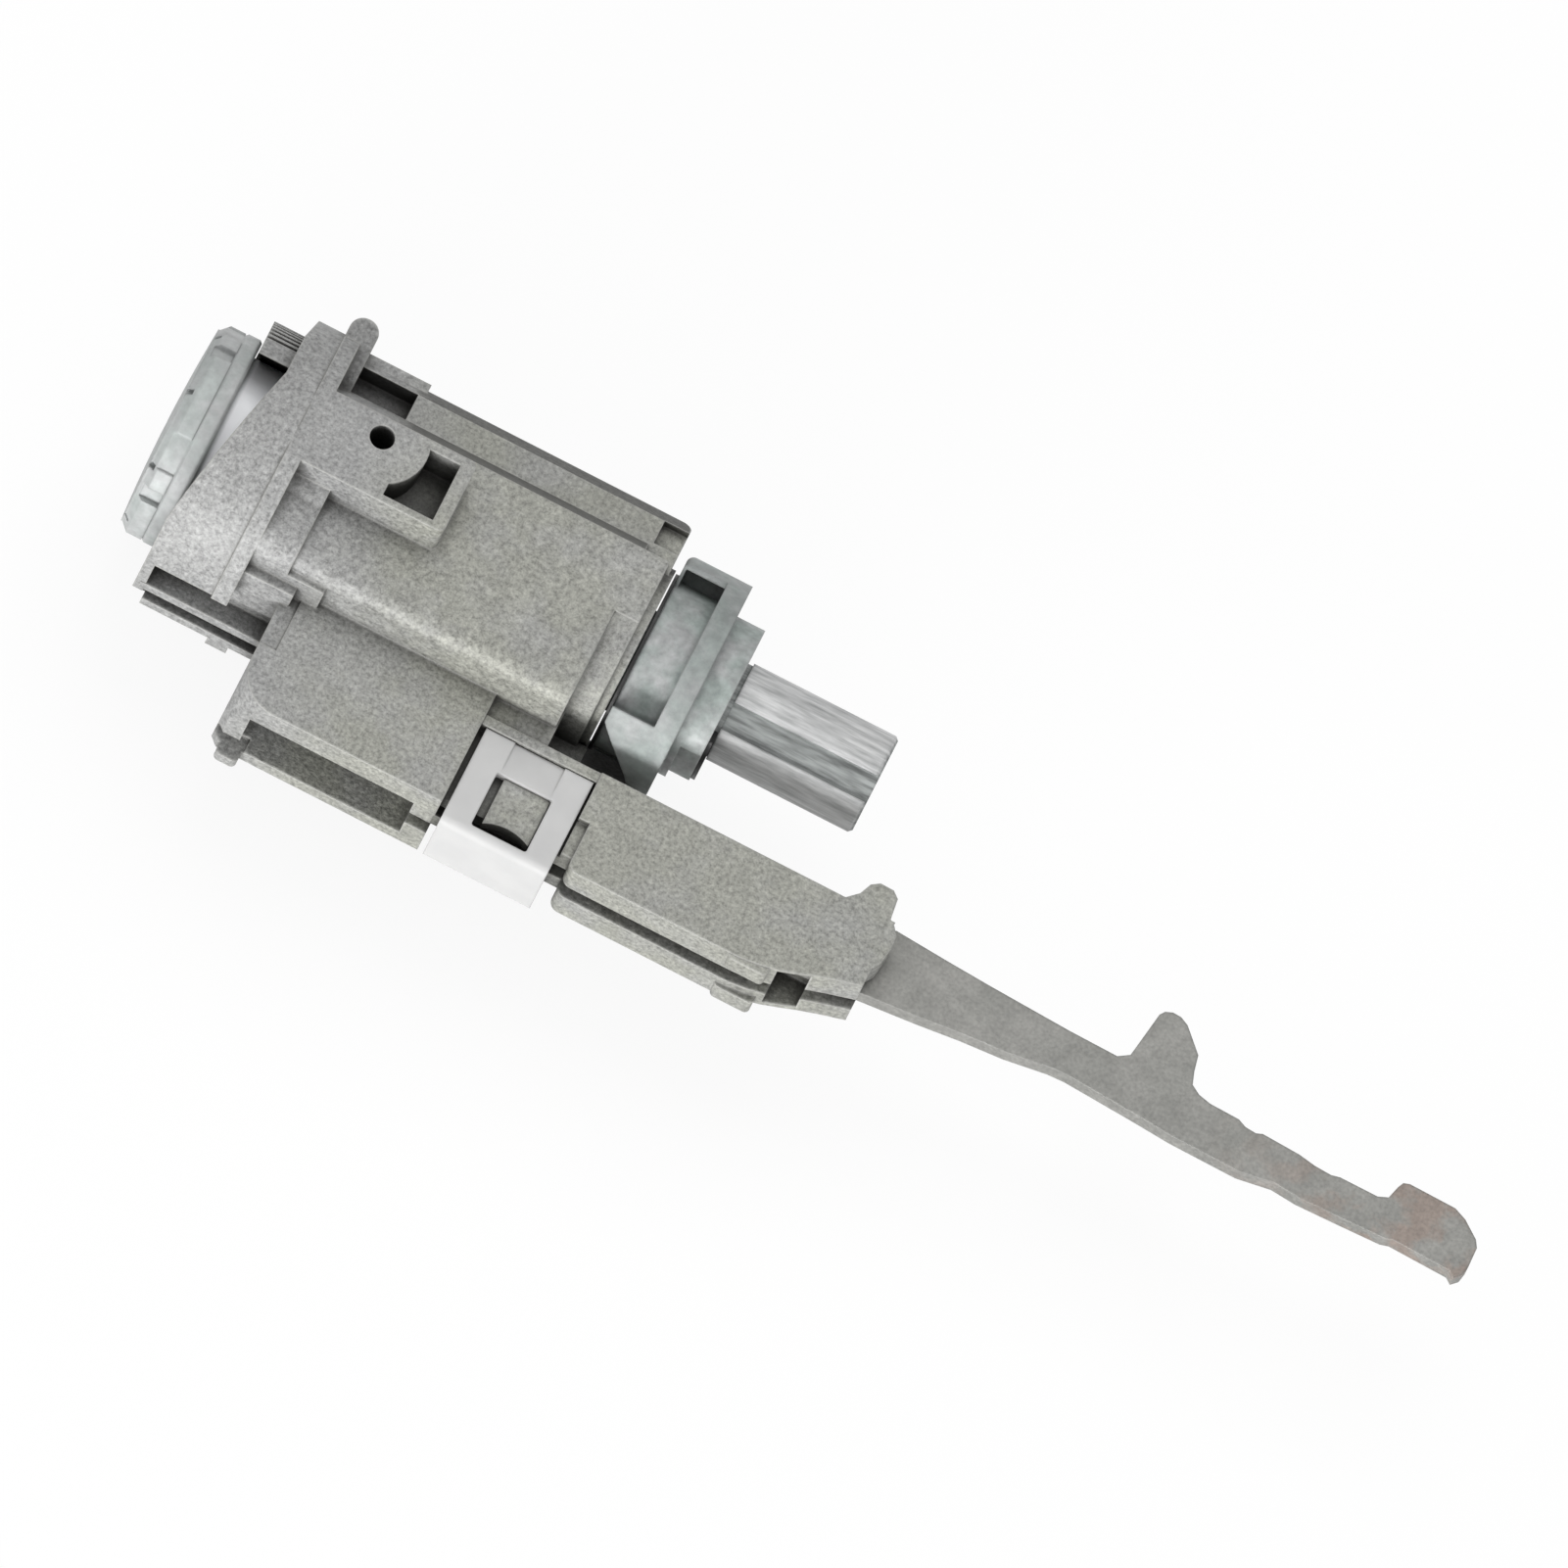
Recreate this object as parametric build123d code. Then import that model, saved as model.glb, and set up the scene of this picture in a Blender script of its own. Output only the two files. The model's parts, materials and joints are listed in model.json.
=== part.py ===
"""Car ignition lock cylinder: die-cast housing with a slotted carrier arm, rotor, drive cam and lock lever.

Frame, in millimetres. The origin is on the key axis, at the rear end of the barrel. +X runs along the
key axis towards the drive shaft, the carrier arm lies on the -Y side, and +Z is square to the lever.
"""

import os
from math import cos, radians, sin

from build123d import *

# Housing, along the key axis
barrel_len = 41.2
drum_len = 10.0
drum_r = 17.2
drum_wall_x = -50.0
mouth_x = -46.9
mouth_mid_x = -47.85
mouth_slope = 0.235
mouth_top_slope_h = 2.2
flange_thick = 1.9
flange_r = 17.6
flange_lug_r = 19.8
flange_lug_w = 9.0
flange_lug_len = 3.3
guard_front = -50.5
guard_r = 15.0
guard_start_deg = -100
guard_end_deg = 68
guard_end_y = 11.2
guard_flutes = 8
guard_flute_deg = 4
guard_flute_first_deg = 25
guard_flute_w = 0.55
guard_flute_depth = 0.45
collar_neck_r = 14.4
collar_neck_len = 4.3
neck_flat_z = 12.8
neck_side_y = -14.0
neck_corner_r = 3.4
neck_step_z = 8.0
neck_patch_y = -15.2
neck_patch_z = 0.5
rear_ring_r = 11.6
rear_ring_len = 2.9
collar_r = 10.8
collar_len = 1.0

# Barrel section
barrel_half_z = 11.8
barrel_back_z = -11.5
barrel_side_y = -13.3
barrel_corner_r = 2.0
barrel_flat_y = 7.0
barrel_rear_flat_y = -1.1
barrel_pad_y0 = 9.5
barrel_pad_y1 = 12.8
barrel_pad_z = 8.0
barrel_pad_x0 = -33.2
barrel_pad_x1 = -3.5
pad_step = 1.2
barrel_top_y = 14.5
barrel_top_slope = 1.7
barrel_top_x1 = -0.5
barrel_end_r = 1.2
recess_floor_z = 5.0
ledge_x1 = -32.4
ledge_y = 15.1
side_lip_x1 = -32.5
side_lip_z = 9.6

# Pin boss
boss_half_w = 4.6
boss_z = 17.0
boss_x0 = -43.0
boss_x1 = -24.1
boss_corner_r = 0.8
pin_hole_x = -34.55
pin_hole_y = 2.2
pin_hole_r = 1.4
pin_hole_depth = 6.4
pocket_x0 = -31.7
pocket_x1 = -25.7
pocket_y0 = -3.8
pocket_y1 = 3.5
pocket_land_r = 5.35
pocket_depth = 6.0

# Ribs under the drum
rib_y = -17.2
rib_thick = 1.35
rib_pitch = 3.6
rib_top_z = -1.9
rib_room_z = 2.8
rib_root_y = -14.6
rib_x0 = -50.6
rib_step = 0.9
rib_nub_x0 = -41.5
rib_nub_x1 = -39.0

# Channelled block
block_x0 = -36.3
block_x1 = -11.1
block_y = -27.6
block_front_z = 5.5
block_back_z = -8.2
block_corner_r = 5.4
block_corner_z = -4.0
block_chamfer = 0.9
block_strip_x1 = -34.3
block_strip_y0 = -20.6
block_strip_depth = 0.3
channel_x0 = -33.4
channel_front_wall = 3.6
channel_back_wall = 1.85
channel_end_wall = 2.6
channel_floor_y = -15.6
left_groove_z = -4.0
right_groove_z0 = -3.5
right_groove_z1 = -0.7
groove_depth = 1.8
tab_x0 = -35.2
tab_x1 = -32.6
tab_len = 1.35
tab_corner_r = 0.6

# Neck, carrier arm and lever slot
arm_x0 = 4.1
arm_x1 = 38.1
arm_top_y = -15.9
arm_bottom_y = -27.95
arm_front_z = 5.5
arm_back_z = -5.4
arm_corner_r = 1.2
arm_thin_x = 28.3
arm_thin_z = -4.3
arm_roof = 1.7
arm_roof_x1 = 36.5
arm_pocket_x0 = 29.2
arm_pocket_x1 = 32.7
arm_pocket_z0 = -3.5
arm_pocket_z1 = 5.1
arm_pocket_h = 5.0
lump_x0 = 23.7
lump_x1 = 28.4
lump_y = -28.45
lump_z0 = 2.6
lump_z1 = 5.3
lump_corner_r = 0.6
arm_step_x0 = 2.8
arm_step_y = -21.9
arm_step_z = 4.6
lip_y = -17.1
lip_z = 5.2
ledge_front_z = 4.6
neck_bottom_y = -26.2
neck_front_z = 3.5
neck_back_z = -3.7
rear_wall_x1 = 0.2
rear_wall_z0 = -5.2
rear_wall_z1 = -1.0
web_x1 = 6.8
web_y1 = -4.5
web_z0 = -14.2
web_bore_r = 13.8
snap_x0 = -6.2
snap_x1 = -0.7
snap_y0 = -21.3
snap_y1 = -27.2
snap_z = 4.4
snap_arc_r = 5.5
snap_arc_h = 0.75

# Lock lever
lever_thick = 2.1
lever_mid_z = 0.05
lever_side_gap = 0.35
lever_tail_x = -9.5
lever_roof_gap = 0.4
spring_notch_x0 = 24.8
spring_notch_x1 = 29.2
spring_notch_depth = 2.2
pivot_x = 20.0
pivot_y = -20.6
pivot_r = 1.75
pivot_gap = 0.04
pivot_blind = 2.4

# Lever clip
clip_x0 = -10.4
clip_x1 = 2.5
clip_wall = 1.4
clip_fit = 0.1
clip_top_y = -17.2
clip_floor_gap = 1.9
clip_edge_r = 1.0
clip_window_x0 = -7.2
clip_window_x1 = -0.6
clip_window_y0 = -28.2
clip_window_y1 = -21.2
clip_window_r = 0.3
clip_ramp_depth = 0.3

# Rotor
plug_r = 8.0
running_gap = 0.06
end_gap = 0.35
skirt_r = 10.5
skirt_len = 5.6
skirt_gap = 0.35
head_r = 12.5
head_rear = -50.6
head_rear_rim = 2.0
head_front_len = 3.3
head_dome = 0.5
head_edge = 1.0
head_repeat = 4
wide_pocket_deg = (117, 138)
wide_pocket_depth = 0.35
deep_pocket_deg = (150, 159)
deep_pocket_depth = 0.8
edge_notch_deg = (94, 139)
edge_notch_w = 0.7
edge_notch_depth = 0.6
key_slot_h = 9.0
key_slot_w = 2.6
key_depth = 38.0
tail_r = 6.0
tail_len = 2.2

# Wafers and their springs
wafer_count = 6
wafer_pitch = 4.6
wafer_first_gap = 9.6
wafer_thick = 1.0
wafer_w = 9.6
wafer_travel = 0.6
wafer_gap = 0.05
wafer_rim_gap = 0.15
wafer_window_gap = 0.4
wafer_window_z0 = -2.6
wafer_window_z1 = 3.0
wafer_notch_w = 1.6
wafer_code_step = 0.35
channel_r_gap = 2.4
spring_seat_z = 2.9
spring_seat_thick = 1.0
spring_foot_z = -1.6
spring_wire_r = 0.18
spring_end_gap = 0.05
spring_turns = 4
coil_steps = 8
coil_sides = 5

# Dust shutter
shutter_thick = 0.6
shutter_pin_r = 0.5
shutter_pin_half = 6.4
shutter_eye_wall = 0.45
shutter_lap = 0.9
shutter_inset = 1.3
shutter_room = 0.3
shutter_wire_r = 0.15

# Key follower
follower_x = -7.6
follower_r = 1.5
follower_groove_r = 6.6
follower_groove_gap = 0.4
follower_edge = 0.4

# Drive cam, washer and retaining ring
washer_front = 0.15
washer_thick = 0.4
washer_r = 10.5
cam_hub_r = 9.9
cam_hub_len = 5.0
cam_disc_r = 13.0
cam_disc_core_r = 10.4
cam_disc_len = 2.55
cam_upper_deg = (0, 46)
cam_upper_corner_r = 0.8
cam_upper_pocket_deg = (12, 60)
cam_upper_wall = 0.75
cam_disc_deg = (-20, 235)
cam_lower_deg = (128, 262)
cam_lower_top = -5.2
cam_lower_r = 13.0
cam_tier_r = 9.4
cam_tier_len = 3.35
cam_tier_step_deg = (153, 262)
cam_tier_step_r = 8.6
shaft_r = 5.75
shaft_len = 18.05
shaft_edge = 0.4
shaft_groove_deg = (104, 137)
shaft_groove_depth = 0.55
ring_thick = 0.5
ring_r = 8.3
ring_deg = (143, 300)
ring_seat_r = 5.45

# Stations and sizes that follow from the ones above
flange_rear = -barrel_len
flange_front = flange_rear - flange_thick
drum_front = flange_rear - drum_len
neck_rear = flange_rear + collar_neck_len
ring_front = -collar_len - rear_ring_len
bore_r = plug_r + running_gap
skirt_bore_r = skirt_r + skirt_gap
rib_z0 = rib_top_z - rib_pitch - rib_thick
slot_front_z = lever_mid_z + lever_thick / 2 + lever_side_gap
slot_back_z = lever_mid_z - lever_thick / 2 - lever_side_gap
slot_roof_y = arm_top_y - arm_roof
lever_top_y = slot_roof_y - lever_roof_gap
lever_spring_x = (spring_notch_x0 + spring_notch_x1) / 2
snap_mid_x = (snap_x0 + snap_x1) / 2
head_front = head_rear - head_rear_rim - head_front_len
cam_front = washer_front + washer_thick
cam_disc_front = cam_front + cam_hub_len
cam_tier_front = cam_disc_front + cam_disc_len
shaft_front = cam_tier_front + cam_tier_len
shaft_rear = shaft_front + shaft_len
plug_front = head_front + head_dome + 1.6
wafer_first_x = head_rear + wafer_first_gap
wafer_tip = plug_r - wafer_rim_gap
wafer_channel_r = plug_r + channel_r_gap
wafer_spring_y = wafer_w / 2 - wafer_notch_w / 2
shutter_x = plug_front + shutter_inset
shutter_y = key_slot_w / 2 + 1.1
shutter_eye_r = shutter_pin_r + shutter_eye_wall
shutter_half_z = key_slot_h / 2 + 0.2
shutter_reach = shutter_y + key_slot_w / 2 + shutter_lap


def block(x0, x1, y0, y1, z0, z1):
    """Box between two corners."""
    return Pos((x0 + x1) / 2, (y0 + y1) / 2, (z0 + z1) / 2) * Box(abs(x1 - x0), abs(y1 - y0), abs(z1 - z0))


def rod_x(x0, x1, r, y=0.0, z=0.0):
    """Round bar along X."""
    return Pos((x0 + x1) / 2, y, z) * Rot(0, 90, 0) * Cylinder(r, abs(x1 - x0))


def rod_y(y0, y1, r, x, z):
    """Round bar along Y."""
    return Pos(x, (y0 + y1) / 2, z) * Rot(90, 0, 0) * Cylinder(r, abs(y1 - y0))


def rod_z(z0, z1, r, x, y):
    """Round bar along Z."""
    return Pos(x, y, (z0 + z1) / 2) * Cylinder(r, abs(z1 - z0))


def prism_x(outline, x0, x1):
    """Outline of (y, z) points, run along X."""
    face = make_face(Polyline(*outline, close=True))
    return extrude(Plane.YZ.offset(x0) * face, amount=x1 - x0)


def prism_z(outline, z0, z1):
    """Outline of (x, y) points, run along Z."""
    face = make_face(Polyline(*outline, close=True))
    return extrude(Plane.XY.offset(z0) * face, amount=z1 - z0)


def polar(r, angle_deg):
    """Point (y, z) at a radius and an angle from +Y towards +Z."""
    return (r * cos(radians(angle_deg)), r * sin(radians(angle_deg)))


def sector_x(x0, x1, r, start_deg, end_deg):
    """Pie slice about the key axis, from one angle to another."""
    mid_deg = (start_deg + end_deg) / 2
    edge = [Line((0, 0), polar(r, start_deg))]
    edge.append(ThreePointArc(polar(r, start_deg), polar(r, mid_deg), polar(r, end_deg)))
    edge.append(Line(polar(r, end_deg), (0, 0)))
    return extrude(Plane.YZ.offset(x0) * make_face(Curve() + edge), amount=x1 - x0)


def ring_sector(x0, x1, r0, r1, start_deg, end_deg):
    """Slice of a tube about the key axis."""
    return sector_x(x0, x1, r1, start_deg, end_deg) - rod_x(x0 - 1, x1 + 1, r0)


def drum():
    """Front drum with its slanted mouth, guard ring, flange and lug."""
    body = rod_x(drum_front, flange_rear, drum_r)
    top_y = (mouth_x - mouth_mid_x) / mouth_slope
    low_y = (drum_front - mouth_mid_x) / mouth_slope
    far = drum_front - 1
    mouth = [(far, low_y), (drum_front, low_y), (mouth_x, top_y), (mouth_x, 30), (far, 30)]
    slope_y = drum_r - mouth_top_slope_h
    slope = [(far, slope_y), (mouth_x, slope_y), (mouth_x + 0.9, drum_r + 1), (far, 30)]
    body -= prism_z(mouth, -30, 30)
    body -= Rot(25, 0, 0) * prism_z(slope, -30, 30)
    guard = ring_sector(guard_front, mouth_x + 1, skirt_bore_r, guard_r, guard_start_deg, guard_end_deg)
    for i in range(guard_flutes):
        turn_deg = guard_flute_first_deg + i * guard_flute_deg
        half = guard_flute_w / 2
        flute = block(guard_front - 1, mouth_x, guard_r - guard_flute_depth, guard_r + 1, -half, half)
        guard -= Rot(turn_deg, 0, 0) * flute
    guard -= Rot(25, 0, 0) * block(guard_front - 1, mouth_x, -drum_r, guard_end_y, 0, drum_r)
    body += guard + rod_x(flange_front, flange_rear, flange_r)
    body -= block(flange_front, flange_rear, -boss_half_w, boss_half_w, boss_z, flange_r + 1)
    half = flange_lug_w / 2
    lug = block(flange_front, flange_front + flange_lug_len, 0, flange_lug_r, -half, half)
    tips = [e for e in lug.edges().filter_by(Axis.Z) if e.center().Y > flange_lug_r - 0.1]
    body += Rot(25, 0, 0) * fillet(tips, flange_lug_len / 2 - 0.1)
    return body


def collar_neck():
    """Neck between flange and block, with its flat, rounded shoulder and patch."""
    body = rod_x(flange_rear - 1, neck_rear, collar_neck_r)
    outline = [(0, 0), (0, neck_flat_z), (neck_side_y, neck_flat_z), (neck_side_y, 0)]
    section = prism_x(outline, flange_rear - 1, neck_rear)
    shoulder = section.edges().filter_by(Axis.X).sort_by(lambda e: e.center().Z - e.center().Y)[-1]
    body += fillet(shoulder, neck_corner_r)
    body += block(flange_rear - 0.5, block_x0 + 1, neck_patch_y, -8, neck_patch_z, neck_step_z)
    high = collar_neck_r
    return body - block(flange_rear, neck_rear + 1, boss_half_w, high, recess_floor_z, high)


def ribs():
    """Two fins that run under the drum to the block, in the place cut from the drum."""
    low_z = rib_z0 - 1.5
    body = block(drum_wall_x, block_x0 + 1, rib_root_y, -8, rib_z0, neck_patch_z)
    for i in range(2):
        top = rib_top_z - i * rib_pitch
        body += block(rib_x0 + i * rib_step, block_x0 + 1, rib_y, rib_root_y + 2, top - rib_thick, top)
    return body + block(rib_nub_x0, rib_nub_x1, rib_y, rib_root_y + 2, low_z, rib_z0 + 0.5)


def barrel():
    """Flat-sided barrel with its raised pad, recess, rear ring and collar."""
    low_z = barrel_pad_z - barrel_top_slope
    flank = [(barrel_flat_y, barrel_half_z), (barrel_pad_y0, barrel_pad_z), (barrel_pad_y1, barrel_pad_z)]
    top_edge = [(barrel_top_y, low_z), (barrel_top_y, -low_z), (barrel_pad_y1, -barrel_pad_z)]
    back = [(barrel_pad_y0, -barrel_pad_z), (barrel_flat_y, barrel_back_z), (barrel_side_y, barrel_back_z)]
    body = prism_x([(barrel_side_y, barrel_half_z)] + flank + top_edge + back, flange_rear, ring_front)
    corners = [e for e in body.edges().filter_by(Axis.X) if e.center().Y < barrel_side_y + 0.01]
    body = fillet(corners, barrel_corner_r)
    rear = [(barrel_flat_y, barrel_pad_z), (barrel_pad_y1, barrel_pad_z)] + top_edge
    rail = prism_x(rear + [(barrel_flat_y, -barrel_pad_z)], ring_front - 1, barrel_top_x1)
    ends = [e for e in rail.edges().filter_by(Axis.Z) if e.center().X > -1 and e.center().Y > barrel_pad_y1]
    body += fillet(ends, barrel_end_r)
    body += block(ring_front - 1, -collar_len, barrel_rear_flat_y, barrel_flat_y, 5, barrel_half_z)
    body += block(flange_rear, ledge_x1, barrel_pad_y0, ledge_y, 1.5, low_z + 0.5)
    body -= block(flange_rear, barrel_pad_x0, barrel_pad_y0, barrel_pad_y1, recess_floor_z, barrel_half_z)
    step_z = barrel_pad_z - pad_step
    body -= block(barrel_pad_x1, barrel_top_x1 + 1, barrel_pad_y0 + 0.4, barrel_pad_y1, step_z, barrel_half_z)
    body += block(flange_rear, side_lip_x1, neck_side_y, barrel_side_y + 2, 0, side_lip_z)
    body += rod_x(ring_front - 1, -collar_len, rear_ring_r)
    body += rod_x(-collar_len - 1, 0, collar_r)
    return body


def pin_boss():
    """Tall boss with the retaining pin's blind hole and an open pocket."""
    body = block(boss_x0, boss_x1, -boss_half_w, boss_half_w, 6, boss_z)
    body = fillet(body.edges().filter_by(Axis.Z), boss_corner_r)
    pocket = block(pocket_x0, pocket_x1, pocket_y0, pocket_y1, boss_z - pocket_depth, boss_z + 1)
    pocket -= rod_z(0, boss_z + 2, pocket_land_r, pin_hole_x, pin_hole_y)
    return body - pocket


def block_corner():
    """Round corner that fades towards the back, as the piece to cut away."""
    x0 = block_x0 - 0.5
    y0 = block_y - 0.8
    r = block_corner_r
    bend = 0.293 * r
    edge = [
        Line((x0, block_y + r), (x0, y0)),
        Line((x0, y0), (block_x0 + r, y0)),
        Line((block_x0 + r, y0), (block_x0 + r, block_y)),
        ThreePointArc((block_x0 + r, block_y), (block_x0 + bend, block_y + bend), (block_x0, block_y + r)),
        Line((block_x0, block_y + r), (x0, block_y + r)),
    ]
    face = Plane.XY.offset(block_front_z + 0.6) * make_face(Curve() + edge)
    return loft([face.face(), Vertex(block_x0 - 0.2, block_y - 0.3, block_corner_z)])


def channel_block():
    """Block beside the barrel, with a channel open to -Y."""
    body = block(block_x0, block_x1, block_y, barrel_side_y + 3, block_back_z, block_front_z)
    corner = body.edges().filter_by(Axis.Z).sort_by(lambda e: e.center().X + e.center().Y)[0]
    body = chamfer(corner, block_chamfer)
    x1 = block_x1 - channel_end_wall
    z0 = block_back_z + channel_back_wall
    z1 = block_front_z - channel_front_wall
    strip_z = block_front_z - block_strip_depth
    body -= block(block_x0 - 1, block_strip_x1, block_strip_y0, barrel_side_y, strip_z, block_front_z + 1)
    body -= block_corner()
    body -= block(channel_x0, x1, block_y - 2, channel_floor_y, z0, z1)
    body -= block(block_x0 - 1, channel_x0 + 1, block_y - 2, block_y + groove_depth, z0 - 0.25, left_groove_z)
    body -= block(x1 - 1, block_x1 + 1, block_y - 2, block_y + groove_depth, right_groove_z0, right_groove_z1)
    tab = block(tab_x0, tab_x1, block_y - tab_len, block_y + 1, block_back_z, z0 - 0.25)
    return body + fillet(tab.edges().filter_by(Axis.Z).group_by(Axis.Y)[0], tab_corner_r)


def neck_and_arm():
    """Neck that carries the clip, and the carrier arm beyond it."""
    ledge_y0 = arm_top_y - 0.1
    body = block(block_x1 - 1, ring_front + 0.2, ledge_y0, barrel_side_y + 3, arm_back_z, ledge_front_z)
    body += block(ring_front - 0.2, rear_wall_x1, arm_top_y, barrel_side_y + 2.3, rear_wall_z0, rear_wall_z1)
    web = block(ring_front - 0.2, web_x1, arm_top_y - 0.5, web_y1, web_z0, arm_back_z + 1)
    body += web - rod_x(ring_front - 1, web_x1 + 1, web_bore_r)
    body += block(block_x1 - 1, arm_x0 + 1, neck_bottom_y, arm_top_y, neck_back_z, neck_front_z)
    body += block(block_x1 - 1, arm_x0 + 1, lip_y, arm_top_y, neck_back_z, lip_z)
    body += block(arm_step_x0, arm_x0 + 3, arm_step_y, arm_top_y, arm_back_z, arm_front_z)
    body += block(arm_step_x0, arm_x0 + 1, neck_bottom_y, arm_step_y, neck_back_z, arm_step_z)
    under = [(38.1, -24.3), (35.0, -25.2), (33.0, -25.85), (31.0, -26.6), (29.0, -27.3), (27.0, -27.7),
             (25.0, arm_bottom_y), (arm_x0, arm_bottom_y)]
    arm = prism_z([(arm_x0, arm_top_y), (arm_x1, arm_top_y)] + under, arm_back_z, arm_front_z)
    lower_left = arm.edges().filter_by(Axis.Z).sort_by(lambda e: e.center().X + e.center().Y)[0]
    body += fillet(lower_left, arm_corner_r)
    ear = [(32.1, arm_top_y), (33.3, -14.7), (33.9, -13.2), (34.8, -12.55), (36.4, -12.6), (37.2, -13.3),
           (37.5, -15.8), (38.2, -16.35), (38.9, -17.3), (39.0, -19.0), (38.7, -21.0), (38.1, -22.0),
           (37.0, -24.0), (32.1, -20.0)]
    body += prism_z(ear, slot_front_z, arm_front_z)
    pocket_y1 = arm_bottom_y + arm_pocket_h
    body -= block(arm_pocket_x0, arm_pocket_x1, arm_bottom_y - 1, pocket_y1, arm_pocket_z0, arm_pocket_z1)
    body -= block(arm_thin_x, arm_x1 + 2, arm_bottom_y - 1, arm_top_y + 1, arm_back_z - 1, arm_thin_z)
    snap = block(snap_x0, snap_x1, snap_y1, snap_y0, neck_front_z - 0.5, snap_z)
    return body + (snap - rod_z(0, 9, snap_arc_r, snap_mid_x, snap_y1 + snap_arc_h - snap_arc_r))


def lever_slot():
    """Room for the lever: slot, open lift end, spring pocket and pivot hole."""
    cut = block(block_x1 - 0.1, arm_x1 + 2, arm_bottom_y - 1, slot_roof_y, slot_back_z, slot_front_z)
    cut += block(arm_roof_x1, arm_x1 + 2, slot_roof_y - 1, arm_top_y + 1, slot_back_z, slot_front_z)
    cut += rod_y(slot_roof_y - 0.5, arm_top_y - 0.6, lever_thick / 2 + 0.2, lever_spring_x, lever_mid_z)
    cut += rod_z(arm_back_z - 1, slot_front_z + pivot_blind, pivot_r, pivot_x, pivot_y)
    return cut


def arm_lumps():
    """Pads on the undersides of both plates."""
    pads = block(lump_x0, lump_x1, lump_y, arm_bottom_y + 1.4, lump_z0, lump_z1)
    pads += block(lump_x0, lump_x1, lump_y, arm_bottom_y + 1.4, arm_back_z, -lump_z0)
    return fillet([e for e in pads.edges().filter_by(Axis.Z) if e.center().Y < arm_bottom_y], lump_corner_r)


def rotor_bore():
    """Room for the rotor: bore, skirt counterbore and wafer channels."""
    cut = rod_x(drum_front - 2, 1, bore_r)
    cut += rod_x(drum_front - 2, head_rear + skirt_len + end_gap, skirt_bore_r)
    cut += rod_x(drum_front - 2, head_rear + end_gap, head_r + skirt_gap)
    first = wafer_first_x - wafer_thick
    last = wafer_first_x + wafer_pitch * (wafer_count - 1) + wafer_thick
    channel_w = wafer_w + wafer_travel
    cut += rod_x(first - 1, last + 1, wafer_channel_r) & block(
        first - 1, last + 1, -channel_w / 2, channel_w / 2, -wafer_channel_r, wafer_channel_r
    )
    return cut


def housing():
    """One casting: drum, barrel, boss, block, neck and arm, less its hollows."""
    rib_room = block(drum_wall_x, flange_rear, -drum_r - 1, rib_root_y, rib_z0 - 2, rib_room_z)
    body = drum() - rib_room + ribs() + collar_neck() + barrel() + pin_boss()
    body += channel_block() + neck_and_arm()
    body -= rotor_bore()
    body -= lever_slot()
    body -= rod_z(boss_z - pin_hole_depth, boss_z + 1, pin_hole_r, pin_hole_x, pin_hole_y)
    body -= rod_y(slot_roof_y - 2, -plug_r + 1.5, follower_r + running_gap, follower_x, lever_mid_z)
    return body + arm_lumps()


def key_slot(x0, x1):
    """Key blade's passage."""
    return block(x0, x1, -key_slot_w / 2, key_slot_w / 2, -key_slot_h / 2, key_slot_h / 2)


def rotor_head():
    """Head cap: domed face, pockets round its front, rear rim and smooth skirt."""
    mid = head_rear - head_rear_rim
    body = rod_x(mid, head_rear, head_r)
    body = chamfer(body.edges().filter_by(GeomType.CIRCLE), 0.3)
    front = rod_x(head_front + head_dome, mid, head_r - 0.1)
    front = chamfer(front.faces().sort_by(Axis.X)[0].edges(), head_edge)
    dome_r = (head_r**2 + head_dome**2) / (2 * head_dome)
    dome = Pos(head_front + dome_r, 0, 0) * Sphere(dome_r) & rod_x(head_front, mid, head_r - head_edge)
    front += dome
    step_deg = 360 / head_repeat
    for i in range(head_repeat):
        turn = Rot(i * step_deg, 0, 0)
        wide = ring_sector(head_front + 0.9, mid, head_r - wide_pocket_depth, head_r + 1, *wide_pocket_deg)
        deep = ring_sector(head_front + 0.9, mid, head_r - deep_pocket_depth, head_r + 1, *deep_pocket_deg)
        front -= turn * wide + turn * deep
        for angle in edge_notch_deg:
            half = edge_notch_w / 2
            floor_r = head_r - head_edge - edge_notch_depth
            notch = block(head_front - 1, head_front + 1.1, floor_r, head_r + 1, -half, half)
            front -= Rot(angle + i * step_deg, 0, 0) * notch
    body += front
    body += rod_x(head_rear - 0.2, head_rear + skirt_len, skirt_r)
    body -= rod_x(plug_front, head_rear + skirt_len + 1, plug_r)
    return body - key_slot(head_front - 1, plug_front + 1)


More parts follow.
